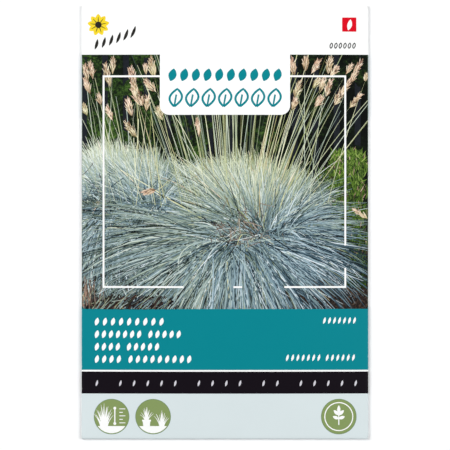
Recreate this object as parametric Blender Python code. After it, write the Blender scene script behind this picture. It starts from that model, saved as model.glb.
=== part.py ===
"""Sealed paper seed packet with its seeds inside, lying on its back.

One sheet of coated paper is folded into a flat envelope. Its front panel is in the middle. The back panel is
folded under it along the left edge, a side flap is folded over the back panel along the right edge, and a flap
at the foot and one at the head are folded over both. The seeds lie loose between the two panels.

Metres, +Z up. The origin is under the middle of the packet, on the surface that it lies on. +X is the front's
right-hand side, and +Y is its head.
"""

import math

import bmesh
import bpy
import numpy as np

# The folded packet
WIDTH = 0.082
HEIGHT = 0.124
PAPER = 0.00012

# The sheet's four layers, counted from the surface below, by the height of the middle of the paper
LAYER_PITCH = 0.00024
END_FLAP_LEVEL = PAPER / 2
SIDE_FLAP_LEVEL = END_FLAP_LEVEL + LAYER_PITCH
BACK_LEVEL = SIDE_FLAP_LEVEL + LAYER_PITCH
FRONT_LEVEL = BACK_LEVEL + LAYER_PITCH

# How far the filled packet's panels stand out in the middle
FRONT_CROWN = 0.0018
BACK_SAG = 0.00035

# Flaps and the back panel, measured from their folds
HEAD_FLAP = 0.018
FOOT_FLAP = 0.014
SIDE_FLAP = 0.010
BACK_EDGE_MARGIN = 0.0015
END_FLAP_TAPER = math.radians(20)
SIDE_FLAP_TAPER = math.radians(25)
CORNER_NOTCH = 0.0010

# Fineness of the sheet
FRONT_COLUMNS = 16
FRONT_ROWS = 22
ARC_STEPS = 6
BACK_STEPS = 14
FLAP_STEPS = 3

# Seeds: slim grains, pointed at both ends
SEED_LENGTH = 0.0046
SEED_WIDTH = 0.0009
SEED_DEPTH = 0.00075
SEED_COLUMNS = 6
SEED_ROWS = 6
SEED_FIELD_X = 0.033
SEED_FIELD_Y = 0.052
SEED_SCATTER = 0.0009
SEED_CLEARANCE = 0.0003
SEED_RANDOM = 7

PAPER_COLOUR = (0.86, 0.88, 0.87)
PAPER_ROUGHNESS = 0.42
SEED_COLOUR = (0.42, 0.29, 0.15)
SEED_ROUGHNESS = 0.65


def clear_scene():
    """Removes whatever objects are there."""
    for item in list(bpy.data.objects):
        bpy.data.objects.remove(item, do_unlink=True)


def plain_material(name, colour, roughness):
    """A non-metal surface of one colour."""
    material = bpy.data.materials.new(name)
    material.use_nodes = True
    shader = material.node_tree.nodes["Principled BSDF"]
    shader.inputs["Base Color"].default_value = (*colour, 1.0)
    shader.inputs["Roughness"].default_value = roughness
    shader.inputs["Metallic"].default_value = 0.0
    return material


def add_object(name, mesh, material):
    """Links a mesh to the scene as one object with one material."""
    if not mesh.materials:
        mesh.materials.append(material)
    item = bpy.data.objects.new(name, mesh)
    bpy.context.scene.collection.objects.link(item)
    return item


# ---------------------------------------------------------------- the folded sheet

def fold_radius(level):
    """Radius of the fold that takes the paper from the front's level down to another level."""
    return (FRONT_LEVEL - level) / 2


def fold_line(half_size, level):
    """Where the flat front ends and the fold starts, so that the fold's outside ends at half_size."""
    return half_size - fold_radius(level) - PAPER / 2


LEFT_FOLD = fold_line(WIDTH / 2, BACK_LEVEL)
RIGHT_FOLD = fold_line(WIDTH / 2, SIDE_FLAP_LEVEL)
END_FOLD = fold_line(HEIGHT / 2, END_FLAP_LEVEL)


def pillow(x, y):
    """How full the packet is at a point: 1 in the middle, falling off as a parabola to 0 at its edges."""
    u = min(1.0, abs(x) / RIGHT_FOLD)
    v = min(1.0, abs(y) / END_FOLD)
    return (1 - u**2) * (1 - v**2)


def front_height(x, y):
    """Height of the middle of the front's paper."""
    return FRONT_LEVEL + FRONT_CROWN * pillow(x, y)


def back_height(x, y):
    """Height of the middle of the back's paper. It bellies down only where no flap lies under it."""
    return BACK_LEVEL - BACK_SAG * pillow(x, y) ** 3


def fold_profile(level, length, steps):
    """Points (distance past the fold line, height, distance along the flap) of a fold and its flap."""
    radius = fold_radius(level)
    middle = (FRONT_LEVEL + level) / 2
    points = []
    for i in range(1, ARC_STEPS + 1):
        turn = math.pi * i / ARC_STEPS
        points.append((radius * math.sin(turn), middle + radius * math.cos(turn), 0.0))
    for i in range(1, steps + 1):
        along = length * i / steps
        points.append((-along, level, along))
    return points


def front_panel(sheet):
    """A grid over the front, with a row and a column of its own along each corner notch."""
    x_lines = [-LEFT_FOLD, *np.linspace(CORNER_NOTCH - LEFT_FOLD, RIGHT_FOLD - CORNER_NOTCH, FRONT_COLUMNS - 1)]
    x_lines.append(RIGHT_FOLD)
    y_lines = [-END_FOLD, *np.linspace(CORNER_NOTCH - END_FOLD, END_FOLD - CORNER_NOTCH, FRONT_ROWS - 1)]
    y_lines.append(END_FOLD)
    bmesh.ops.create_grid(sheet, x_segments=FRONT_COLUMNS, y_segments=FRONT_ROWS, size=1.0)
    for vert in sheet.verts:
        column = round((vert.co.x + 1) / 2 * FRONT_COLUMNS)
        row = round((vert.co.y + 1) / 2 * FRONT_ROWS)
        x = x_lines[column]
        y = y_lines[row]
        vert.co = (x, y, front_height(x, y))


def boundary_chain(sheet, axis, place):
    """The sheet's open edges on the line where one coordinate equals place, without the corner notches."""
    other = 1 - axis
    notch_end = (END_FOLD if axis == 0 else min(LEFT_FOLD, RIGHT_FOLD)) - CORNER_NOTCH / 2
    chain = []
    for edge in sheet.edges:
        on_line = all(abs(vert.co[axis] - place) < PAPER / 10 for vert in edge.verts)
        inside = all(abs(vert.co[other]) < notch_end for vert in edge.verts)
        if on_line and inside and edge.is_boundary:
            chain.append(edge)
    return chain


def fold_under(sheet, axis, place, profile, taper=0.0, shape=None):
    """Extrudes the sheet's edge round a fold and along a flap that narrows by the taper angle at each end.

    Where shape is given, it is the height of the paper over a point of the flap.
    """
    other = 1 - axis
    side = 1 if place > 0 else -1
    edges = boundary_chain(sheet, axis, place)
    half_chain = max(abs(vert.co[other]) for edge in edges for vert in edge.verts)
    scale_before = 1.0
    for out, height, along in profile:
        grown = bmesh.ops.extrude_edge_only(sheet, edges=edges)["geom"]
        edges = [piece for piece in grown if isinstance(piece, bmesh.types.BMEdge)]
        scale = 1 - along * math.tan(taper) / half_chain
        for vert in (piece for piece in grown if isinstance(piece, bmesh.types.BMVert)):
            vert.co[axis] = place + side * out
            vert.co[other] *= scale / scale_before
            vert.co.z = shape(vert.co.x, vert.co.y) if shape and along > 0 else height
        scale_before = scale


def make_envelope():
    """The whole folded sheet, given its thickness by Solidify."""
    sheet = bmesh.new()
    front_panel(sheet)
    back_width = LEFT_FOLD + WIDTH / 2 - BACK_EDGE_MARGIN
    fold_under(sheet, 0, -LEFT_FOLD, fold_profile(BACK_LEVEL, back_width, BACK_STEPS), shape=back_height)
    side_flap = fold_profile(SIDE_FLAP_LEVEL, SIDE_FLAP, FLAP_STEPS)
    fold_under(sheet, 0, RIGHT_FOLD, side_flap, SIDE_FLAP_TAPER)
    foot_flap = fold_profile(END_FLAP_LEVEL, FOOT_FLAP, FLAP_STEPS)
    fold_under(sheet, 1, -END_FOLD, foot_flap, END_FLAP_TAPER)
    head_flap = fold_profile(END_FLAP_LEVEL, HEAD_FLAP, FLAP_STEPS)
    fold_under(sheet, 1, END_FOLD, head_flap, END_FLAP_TAPER)
    bmesh.ops.recalc_face_normals(sheet, faces=sheet.faces)

    mesh = bpy.data.meshes.new("envelope")
    sheet.to_mesh(mesh)
    sheet.free()
    mesh.shade_smooth()
    envelope = add_object("envelope", mesh, plain_material("coated paper", PAPER_COLOUR, PAPER_ROUGHNESS))
    thickness = envelope.modifiers.new("paper thickness", "SOLIDIFY")
    thickness.thickness = PAPER
    thickness.offset = 0.0
    thickness.use_even_offset = True


# ---------------------------------------------------------------- the seeds

def seed_mesh():
    """A grain along X, round in section and drawn out to a blunt point at each end."""
    grain = bmesh.new()
    bmesh.ops.create_uvsphere(grain, u_segments=8, v_segments=6, radius=1.0)
    for vert in grain.verts:
        along = vert.co.z
        slimmer = 1 - 0.25 * along**2
        across = vert.co.x * slimmer * SEED_WIDTH / 2
        up = vert.co.y * slimmer * SEED_DEPTH / 2
        vert.co = (along * SEED_LENGTH / 2, across, up)
    mesh = bpy.data.meshes.new("seed")
    grain.to_mesh(mesh)
    grain.free()
    mesh.shade_smooth()
    return mesh


def lay_seeds():
    """Spreads the seeds over the back panel, each in its own cell, turned and shifted a little at random."""
    chance = np.random.default_rng(SEED_RANDOM)
    mesh = seed_mesh()
    husk = plain_material("seed husk", SEED_COLOUR, SEED_ROUGHNESS)
    columns = np.linspace(-SEED_FIELD_X / 2, SEED_FIELD_X / 2, SEED_COLUMNS)
    rows = np.linspace(-SEED_FIELD_Y / 2, SEED_FIELD_Y / 2, SEED_ROWS)
    places = [(x, y) for y in rows for x in columns]
    for number, (x, y) in enumerate(places, start=1):
        x += chance.uniform(-SEED_SCATTER, SEED_SCATTER)
        y += chance.uniform(-SEED_SCATTER, SEED_SCATTER)
        seed = add_object(f"seed_{number:02d}", mesh, husk)
        seed.location = (x, y, back_height(x, y) + PAPER / 2 + SEED_CLEARANCE + SEED_DEPTH / 2)
        seed.rotation_euler = (0.0, 0.0, chance.uniform(0, math.pi))


clear_scene()
make_envelope()
lay_seeds()
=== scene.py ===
import bpy
import numpy as np
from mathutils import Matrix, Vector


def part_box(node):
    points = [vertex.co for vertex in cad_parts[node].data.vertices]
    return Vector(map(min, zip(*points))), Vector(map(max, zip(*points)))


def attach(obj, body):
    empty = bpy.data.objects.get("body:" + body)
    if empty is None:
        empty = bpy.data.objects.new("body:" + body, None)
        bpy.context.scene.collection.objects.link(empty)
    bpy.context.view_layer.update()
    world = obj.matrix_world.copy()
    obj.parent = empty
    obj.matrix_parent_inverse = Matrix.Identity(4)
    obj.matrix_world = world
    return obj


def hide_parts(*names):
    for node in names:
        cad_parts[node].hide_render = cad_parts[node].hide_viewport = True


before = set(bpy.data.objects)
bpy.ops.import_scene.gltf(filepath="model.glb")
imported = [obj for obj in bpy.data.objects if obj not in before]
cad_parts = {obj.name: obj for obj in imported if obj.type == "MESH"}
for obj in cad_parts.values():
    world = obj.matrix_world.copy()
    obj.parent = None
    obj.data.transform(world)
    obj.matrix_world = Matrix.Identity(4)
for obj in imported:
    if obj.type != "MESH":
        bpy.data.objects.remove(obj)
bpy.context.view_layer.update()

# A sealed paper seed packet, printed with a picture of tufted blue grass, lying on its back.
# Shapes are worked out in millimetres from the middle of the packet: x to the right of the printed front,
# y towards its head, z up from the surface that it lies on. They are turned to metres as the meshes are made.

# ------------------------------------------------------------------ the folded sheet
# One sheet of coated paper, printed in flat bands on its outside and left bare inside. It is folded into a
# front and a back, with a side flap over the back's edge and a flap at the foot and the head over both.

MM = 0.001
box_low, box_high = (np.array(corner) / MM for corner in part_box("envelope"))
half_width, half_height = (box_high - box_low)[:2] / 2

# The paper's middle in the sheet's four layers, from the lowest up
paper = 0.12
layer_pitch = 0.24
end_flap_level, side_flap_level, back_level, front_level = paper / 2 + layer_pitch * np.arange(4)

# How far the filled panels stand out. The crown leaves the buckle some of the packet's height.
front_crown = box_high[2] - front_level - paper / 2
crown_share = 0.97
buckle_height = 0.035
back_sag = 0.35

# Flaps, measured from their folds, and how far the outline is drawn in where two folds meet
head_flap, foot_flap, side_flap = 18.0, 14.0, 10.0
end_flap_taper, side_flap_taper = np.tan(np.radians(20)), np.tan(np.radians(25))
back_edge_margin = 1.5
corner_notch, corner_spread = 0.3, 0.4
grid_step, back_step, flap_step = 0.8, 2.0, 1.6
arc_steps = 8
arc_share = np.arange(1, arc_steps + 1) / arc_steps

left_fold = half_width - (front_level - back_level) / 2 - paper / 2
right_fold = half_width - (front_level - side_flap_level) / 2 - paper / 2
end_fold = half_height - (front_level - end_flap_level) / 2 - paper / 2

# Heights at which one printed band ends and the next begins. The back has one more, below the picture's top.
foot_band_top = -49.2
strip_top = -43.0
hairline_top = -42.44
teal_top = -24.7
back_band_foot = 30.0
picture_top = 47.9


def fullness(x, y):
    """How full the packet is: (1 - u^2)(1 - v^2), with u and v the shares of the way out to the folds."""
    u = np.clip(np.abs(x) / right_fold, 0, 1)
    v = np.clip(np.abs(y) / end_fold, 0, 1)
    return (1 - u**2) * (1 - v**2)


def buckle(x, y):
    """Slow unevenness of the filled paper: two crossing waves, faded out towards the folds."""
    waves = np.sin(0.31 * x + 0.17 * y) + np.sin(0.21 * y - 0.27 * x + 1.3)
    return buckle_height * waves * fullness(x, y)


def front_face(x, y):
    """Height of the printed face of the front: its level, the crown and the buckle."""
    return front_level + paper / 2 + front_crown * crown_share * fullness(x, y) + buckle(x, y)


def grid_quads(numbers):
    """Quads between neighbours in a two-way array of vertex numbers.

    They face up where the first way runs to the right and the second way up.
    """
    a, b, c, d = numbers[:-1, :-1], numbers[1:, :-1], numbers[1:, 1:], numbers[:-1, 1:]
    return np.stack([a, b, c, d], -1).reshape(-1, 4)


def new_piece(name, points, faces, material, uv=None, uv_name="sheet"):
    """One object from points in millimetres, with a UV for each vertex, riding on the packet."""
    mesh = bpy.data.meshes.new(name)
    mesh.from_pydata((np.asarray(points, float) * MM).tolist(), [], np.asarray(faces).tolist())
    if uv is not None:
        corner_vertex = np.empty(len(mesh.loops), np.int64)
        mesh.loops.foreach_get("vertex_index", corner_vertex)
        layer = mesh.uv_layers.new(name=uv_name)
        layer.uv.foreach_set("vector", np.asarray(uv, np.float32)[corner_vertex].ravel())
    mesh.shade_smooth()
    mesh.materials.append(material)
    piece = bpy.data.objects.new(name, mesh)
    bpy.context.scene.collection.objects.link(piece)
    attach(piece, "root")
    return piece


def fold_arc(level):
    """Middle of the paper round a fold, as distances out and heights: half a circle down from the front."""
    turn = np.pi * arc_share
    radius = (front_level - level) / 2
    return radius * np.sin(turn), level + radius * (1 + np.cos(turn))


def evenly(start, end, step):
    """Values from start to end, about a step apart."""
    return np.linspace(start, end, max(2, round(abs(end - start) / step) + 1))


# The side flap, front and back as one strip that runs round the packet. Across it, from the side flap's free
# edge over the front to the back's free edge: x, level and how far the outline is drawn in at each end
right_out, right_down = fold_arc(side_flap_level)
left_out, left_down = fold_arc(back_level)
flap_x = evenly(right_fold - side_flap, right_fold, flap_step)[:-1]
front_x = evenly(right_fold, -left_fold, grid_step)
back_x = evenly(-left_fold, half_width - back_edge_margin, back_step)[1:]
across_x = np.concatenate([flap_x, (right_fold + right_out)[::-1], front_x, -left_fold - left_out, back_x])
across_level = np.concatenate([
    np.full(len(flap_x), side_flap_level), right_down[::-1], np.full(len(front_x), front_level),
    left_down, np.full(len(back_x), back_level)])
front_start = len(flap_x) + arc_steps
front_end = front_start + len(front_x)
back_start = front_end + arc_steps
eased_notch = corner_notch * arc_share
flap_drawn_in = corner_notch + (right_fold - flap_x) * side_flap_taper
back_drawn_in = np.full(len(back_x), corner_notch)
drawn_in = np.concatenate([
    flap_drawn_in, eased_notch[::-1], np.zeros(len(front_x)), eased_notch, back_drawn_in])

share_up = evenly(-1, 1, grid_step / end_fold)
tube_x = np.repeat(across_x[:, None], len(share_up), 1)
tube_y = (end_fold - drawn_in)[:, None] * share_up
tube_z = np.repeat(across_level[:, None], len(share_up), 1)
on_front = slice(front_start, front_end)
on_back = slice(back_start, None)
tube_z[on_front] = front_face(tube_x[on_front], tube_y[on_front]) - paper / 2
tube_z[on_back] -= back_sag * fullness(tube_x[on_back], tube_y[on_back]) ** 3

# Distance over the paper from the front's middle line, positive to the right
run = np.concatenate([[0], np.cumsum(np.hypot(np.diff(across_x), np.diff(across_level)))])
sheet_across = run[front_start] + right_fold - run
tube_uv = np.stack(np.broadcast_arrays(sheet_across[:, None], tube_y), -1)
tube_numbers = np.arange(tube_x.size).reshape(tube_x.shape)
sheet_points = [np.stack([tube_x, tube_y, tube_z], -1).reshape(-1, 3)]
sheet_uv = [tube_uv.reshape(-1, 2)]
sheet_faces = [grid_quads(tube_numbers[::-1])]


def end_flap_sheet(side, length, first_number):
    """The fold and flap at the head (side 1) or foot (side -1), carried on from the front's own last row.

    The paper runs round half a circle and back under the packet. The fold spreads by the sine of its turn to
    close the corners, and the flap is drawn in by its taper.
    """
    out, down = fold_arc(end_flap_level)
    along = evenly(0, length, flap_step)[1:]
    distance_out = np.concatenate([out, -along])
    level = np.concatenate([down, np.full(len(along), end_flap_level)])
    widened = corner_spread * np.sin(np.pi * arc_share)
    drawn = np.concatenate([eased_notch - widened, corner_notch + along * end_flap_taper])
    fold_length = np.pi * (front_level - end_flap_level) / 2
    travelled = np.concatenate([fold_length * arc_share, fold_length + along])
    x = front_x * (1 - drawn / half_width)[:, None]
    y = np.broadcast_to(side * (end_fold + distance_out)[:, None], x.shape)
    z = np.broadcast_to(level[:, None], x.shape)
    up = np.broadcast_to(side * (end_fold + travelled)[:, None], x.shape)
    new_numbers = first_number + np.arange(x.size).reshape(x.shape)
    shared_row = tube_numbers[on_front, -1 if side > 0 else 0]
    numbers = np.concatenate([shared_row[None], new_numbers])
    faces = grid_quads(numbers)
    if side < 0:
        faces = faces[:, ::-1]
    return np.stack([x, y, z], -1).reshape(-1, 3), np.stack([x, up], -1).reshape(-1, 2), faces


for flap_side, flap_length in ((1, head_flap), (-1, foot_flap)):
    flap_points, flap_uv, flap_faces = end_flap_sheet(
        flap_side, flap_length, sum(len(block) for block in sheet_points))
    sheet_points.append(flap_points)
    sheet_uv.append(flap_uv)
    sheet_faces.append(flap_faces)


def ink(red, green, blue):
    """Linear opaque colour from the 0 to 255 values of a screen proof, by the sRGB curve."""
    proof = np.array([red, green, blue]) / 255
    linear = np.where(proof <= 0.04045, proof / 12.92, ((proof + 0.055) / 1.055) ** 2.4)
    return (*linear.tolist(), 1.0)


# The flat colours of the bands. The last one lies under the picture.
WHITE_PAPER = ink(247, 248, 247)
TEAL_INK = ink(0, 130, 141)
NIGHT_INK = ink(16, 9, 18)
PALE_INK = ink(212, 223, 225)
HEDGE_INK = ink(96, 110, 98)


def new_group(name, inputs, outputs):
    """An empty node group with its entry and end, and with sockets given by name and socket type.

    An input has a default value too.
    """
    tree = bpy.data.node_groups.new(name, "ShaderNodeTree")
    for socket_name, kind, value in inputs:
        socket = tree.interface.new_socket(socket_name, in_out="INPUT", socket_type=kind)
        socket.default_value = value
    for socket_name, kind in outputs:
        tree.interface.new_socket(socket_name, in_out="OUTPUT", socket_type=kind)
    return tree, tree.nodes.new("NodeGroupInput"), tree.nodes.new("NodeGroupOutput")


def add_node(tree, kind, inputs=(), **settings):
    """A node with its settings, and its inputs given by name or number, each a value or an output to link."""
    node = tree.nodes.new(kind)
    for setting, value in settings.items():
        setattr(node, setting, value)
    for socket, value in dict(inputs).items():
        if isinstance(value, bpy.types.NodeSocket):
            tree.links.new(value, node.inputs[socket])
        else:
            node.inputs[socket].default_value = value
    return node


def maths(tree, operation, *values, **settings):
    """The result of one Math node."""
    node = add_node(tree, "ShaderNodeMath", dict(enumerate(values)), operation=operation, **settings)
    return node.outputs[0]


def ramp(tree, factor, stops, interpolation="LINEAR"):
    """A colour ramp with the stops given as (position, colour)."""
    node = add_node(tree, "ShaderNodeValToRGB", {"Fac": factor})
    node.color_ramp.interpolation = interpolation
    elements = node.color_ramp.elements
    elements.remove(elements[1])
    elements[0].position, elements[0].color = stops[0]
    for position, colour in stops[1:]:
        element = elements.new(position)
        element.color = colour
    return node.outputs["Color"]


def make_paper_grain():
    """Fibres and filler of coated paper: a fine cloudy tone near 1 and a height for bump.

    The tone is 1 + mottle * (fine noise + coarse noise - 1), and the height is the fine noise.
    """
    tree, entry, end = new_group(
        "paper grain",
        [("Fibre Size", "NodeSocketFloat", 0.4), ("Mottle", "NodeSocketFloat", 0.03)],
        [("Tone", "NodeSocketFloat"), ("Height", "NodeSocketFloat")])
    place = add_node(tree, "ShaderNodeTexCoord").outputs["Object"]
    per_metre = maths(tree, "DIVIDE", 1 / MM, entry.outputs["Fibre Size"])
    fibres = add_node(tree, "ShaderNodeTexNoise",
                      {"Vector": place, "Scale": per_metre, "Detail": 4.0, "Roughness": 0.6})
    clouds = add_node(tree, "ShaderNodeTexNoise", {"Vector": place, "Scale": 120.0, "Detail": 2.0})
    both = maths(tree, "ADD", fibres.outputs["Fac"], clouds.outputs["Fac"])
    centred = maths(tree, "SUBTRACT", both, 1.0)
    tree.links.new(maths(tree, "MULTIPLY_ADD", centred, entry.outputs["Mottle"], 1.0), end.inputs["Tone"])
    tree.links.new(fibres.outputs["Fac"], end.inputs["Height"])
    return tree


paper_grain = make_paper_grain()


def new_material(name, roughness, gloss):
    """A surface that isn't metal, with its tree and shader."""
    material = bpy.data.materials.new(name)
    material.use_nodes = True
    tree = material.node_tree
    shader = tree.nodes["Principled BSDF"]
    shader.inputs["Roughness"].default_value = roughness
    shader.inputs["Specular IOR Level"].default_value = gloss
    return material, tree, shader


def grained(tree, shader, colour, mottle=0.03, bump=0.15):
    """Gives a colour or a colour output the paper's grain, in tone, roughness and bump."""
    grain = add_node(tree, "ShaderNodeGroup", node_tree=paper_grain)
    grain.inputs["Mottle"].default_value = mottle
    even_colour = colour if isinstance(colour, bpy.types.NodeSocket) else colour[:3]
    toned = add_node(tree, "ShaderNodeVectorMath",
                     {0: even_colour, "Scale": grain.outputs["Tone"]}, operation="SCALE")
    tree.links.new(toned.outputs[0], shader.inputs["Base Color"])
    middle = shader.inputs["Roughness"].default_value
    rough = add_node(tree, "ShaderNodeMapRange", {
        "Value": grain.outputs["Height"], "From Min": 0.3, "From Max": 0.7,
        "To Min": middle - 0.05, "To Max": middle + 0.05})
    tree.links.new(rough.outputs["Result"], shader.inputs["Roughness"])
    relief = add_node(tree, "ShaderNodeBump", {
        "Height": grain.outputs["Height"], "Strength": bump, "Distance": 0.01 * MM})
    tree.links.new(relief.outputs["Normal"], shader.inputs["Normal"])


def mix_colours(tree, factor, below, above):
    """The colour below, covered by the colour above as far as factor says.

    The colour sockets of a Mix node are its seventh and eighth inputs and its third output.
    """
    node = add_node(tree, "ShaderNodeMix", {"Factor": factor}, data_type="RGBA")
    for socket, colour in ((node.inputs[6], below), (node.inputs[7], above)):
        if isinstance(colour, bpy.types.NodeSocket):
            tree.links.new(colour, socket)
        else:
            socket.default_value = colour
    return node.outputs[2]


def make_printed_paper():
    """Outside of the sheet: flat bands up the front and on the back, and ink rubbed off along the folds.

    The map's x runs round the sheet from the front's middle line, so the back starts past a half width. The
    ink is worn to the white where the distance to a fold and a cloudy noise add up to little.
    """
    material, tree, shader = new_material("printed paper", 0.45, 0.12)
    place = add_node(tree, "ShaderNodeUVMap", uv_map="sheet").outputs["UV"]
    parts = add_node(tree, "ShaderNodeSeparateXYZ", {"Vector": place})
    across, up = parts.outputs["X"], parts.outputs["Y"]
    share = maths(tree, "DIVIDE", maths(tree, "ADD", up, half_height), 2 * half_height)

    def at(height):
        """A height as a share of the packet's whole height."""
        return (height + half_height) / (2 * half_height)

    foot_bands = [(0.0, PALE_INK), (at(foot_band_top), NIGHT_INK), (at(strip_top), WHITE_PAPER),
                  (at(hairline_top), TEAL_INK)]
    front = ramp(tree, share, foot_bands + [
        (at(teal_top), HEDGE_INK), (at(picture_top), WHITE_PAPER)], "CONSTANT")
    back = ramp(tree, share, foot_bands + [
        (at(teal_top), WHITE_PAPER), (at(back_band_foot), TEAL_INK),
        (at(picture_top), WHITE_PAPER)], "CONSTANT")
    past_left_fold = maths(tree, "LESS_THAN", across, -half_width)
    past_right_fold = maths(tree, "GREATER_THAN", across, half_width)
    colour = mix_colours(tree, maths(tree, "ADD", past_left_fold, past_right_fold), front, back)

    from_side = maths(tree, "ABSOLUTE", maths(tree, "SUBTRACT", maths(tree, "ABSOLUTE", across), half_width))
    from_end = maths(tree, "ABSOLUTE", maths(tree, "SUBTRACT", maths(tree, "ABSOLUTE", up), half_height))
    near_fold = maths(tree, "MINIMUM", from_side, from_end)
    rub = add_node(tree, "ShaderNodeTexNoise",
                   {"Vector": place, "Scale": 0.7, "Detail": 5.0, "Roughness": 0.65})
    worn = add_node(tree, "ShaderNodeMapRange", {
        "Value": maths(tree, "ADD", near_fold, maths(tree, "MULTIPLY", rub.outputs["Fac"], 1.1)),
        "From Min": 0.35, "From Max": 0.60, "To Min": 0.55, "To Max": 0.0})
    grained(tree, shader, mix_colours(tree, worn.outputs["Result"], colour, WHITE_PAPER))
    return material


def make_bare_paper():
    """Inside and cut edges of the sheet: uncoated, rougher and a little warmer."""
    material, tree, shader = new_material("bare paper", 0.8, 0.2)
    grained(tree, shader, ink(238, 236, 230), mottle=0.06, bump=0.4)
    return material


envelope = new_piece("paper_envelope", np.concatenate(sheet_points), np.concatenate(sheet_faces),
                     make_printed_paper(), np.concatenate(sheet_uv))
envelope.data.materials.append(make_bare_paper())
thickness = envelope.modifiers.new("paper thickness", "SOLIDIFY")
thickness.thickness = paper * MM
thickness.offset = 0.0
thickness.use_even_offset = True
thickness.material_offset = 1
thickness.material_offset_rim = 1
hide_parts("envelope")

# ------------------------------------------------------------------ the seeds
# Loose grass seeds, sealed in between the two panels: slim grains in dry straw-brown husks, darker in their
# creases. They keep the shapes and places of the CAD model.


def make_husk():
    """Straw brown, clouded darker and lighter by a fine noise."""
    material, tree, shader = new_material("seed husk", 0.65, 0.3)
    place = add_node(tree, "ShaderNodeTexCoord").outputs["Object"]
    streaks = add_node(tree, "ShaderNodeTexNoise", {"Vector": place, "Scale": 900.0, "Detail": 3.0})
    colour = ramp(tree, streaks.outputs["Fac"], [
        (0.3, ink(104, 74, 40)), (0.55, ink(172, 136, 88)), (0.75, ink(205, 176, 128))])
    tree.links.new(colour, shader.inputs["Base Color"])
    relief = add_node(tree, "ShaderNodeBump",
                      {"Height": streaks.outputs["Fac"], "Strength": 0.5, "Distance": 0.05 * MM})
    tree.links.new(relief.outputs["Normal"], shader.inputs["Normal"])
    return material


husk = make_husk()
for node_name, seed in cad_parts.items():
    if node_name.startswith("seed_"):
        seed.data.materials.clear()
        seed.data.materials.append(husk)

# ------------------------------------------------------------------ the printed picture: hedge and fence
# A thin layer of ink over the picture's field: a clipped dark hedge with upright fence slats in it, and bare
# soil at the foot. Everything printed on the front lies from a hundredth to a tenth of a millimetre over the
# paper, each layer a hair over the one that it covers.

picture_margin = 0.2
picture_left, picture_right = picture_margin - half_width, half_width - picture_margin
hedge_lift = 0.012


def laid(x, y, lift):
    """Points (x, y, z) on the front's printed face, raised by a lift."""
    return np.stack(np.broadcast_arrays(x, y, front_face(x, y) + lift), -1)


def patch(left, right, y, lift, step=1.0):
    """Grid between a left and a right outline, each with an x for every row's y, in even shares across."""
    share = evenly(0, 1, step / max(np.max(np.subtract(right, left)), step))[:, None]
    x, y = np.broadcast_arrays(left + np.subtract(right, left) * share, y)
    return laid(x, y, lift).reshape(-1, 3), grid_quads(np.arange(x.size).reshape(x.shape))


def oblong(left, right, foot, head, lift, step=1.0):
    """A patch with straight upright sides."""
    return patch(left, right, evenly(foot, head, step), lift, step)


def make_hedge_ink():
    """Dark leaves in two sizes of clumps, near-black slats at an even pitch, and brown soil low down.

    The leaves' lightness is a fine noise and a coarse one added up, a little less to the right. A slat shows
    where x, wrapped by the pitch, is under a slat's width and the coarse noise is low.
    """
    material, tree, shader = new_material("hedge ink", 0.5, 0.1)
    place = add_node(tree, "ShaderNodeTexCoord").outputs["Object"]
    parts = add_node(tree, "ShaderNodeSeparateXYZ", {"Vector": place})
    x = maths(tree, "DIVIDE", parts.outputs["X"], MM)
    y = maths(tree, "DIVIDE", parts.outputs["Y"], MM)
    leaves = add_node(tree, "ShaderNodeTexNoise",
                      {"Vector": place, "Scale": 1100.0, "Detail": 3.0, "Roughness": 0.75})
    masses = add_node(tree, "ShaderNodeTexNoise", {"Vector": place, "Scale": 130.0, "Detail": 2.0})
    fine_light = maths(tree, "MULTIPLY_ADD", leaves.outputs["Fac"], 1.3, -0.78)
    light = maths(tree, "MULTIPLY_ADD", masses.outputs["Fac"], 1.1, fine_light)
    sunlit = maths(tree, "MULTIPLY_ADD", x, -0.0035, maths(tree, "SUBTRACT", light, 0.06))
    green = ramp(tree, sunlit, [
        (0.15, ink(2, 4, 3)), (0.4, ink(12, 22, 9)), (0.58, ink(36, 58, 22)), (0.75, ink(66, 96, 38)),
        (0.95, ink(104, 132, 66))])
    slat_pitch, slat_width, slat_start = 6.02, 1.7, 4.92
    sway = maths(tree, "MULTIPLY_ADD", masses.outputs["Fac"], 0.3, maths(tree, "ADD", x, slat_start))
    slat = maths(tree, "LESS_THAN", maths(tree, "WRAP", sway, slat_pitch, 0.0), slat_width)
    slat_colour = mix_colours(tree, leaves.outputs["Fac"], ink(6, 8, 12), ink(36, 41, 49))
    uncovered = maths(tree, "LESS_THAN", masses.outputs["Fac"], 0.56)
    behind = mix_colours(tree, maths(tree, "MULTIPLY", slat, uncovered), green, slat_colour)
    soil = ramp(tree, leaves.outputs["Fac"], [
        (0.3, ink(12, 10, 10)), (0.5, ink(40, 33, 30)), (0.7, ink(92, 74, 60))])
    low = add_node(tree, "ShaderNodeMapRange", {
        "Value": y, "From Min": -8.0, "From Max": 2.0, "To Min": 1.0, "To Max": 0.0})
    tree.links.new(mix_colours(tree, low.outputs["Result"], behind, soil), shader.inputs["Base Color"])
    return material


new_piece("print_hedge_and_fence", *oblong(picture_left, picture_right, teal_top, picture_top, hedge_lift),
          make_hedge_ink())

# ------------------------------------------------------------------ the printed picture: strokes of ink
# Blades, stems, plumes and the shrub's leaves are strokes of ink about a quarter of a millimetre wide. They
# are laid over one another from the farthest to the nearest, each a hair higher than the last.

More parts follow.
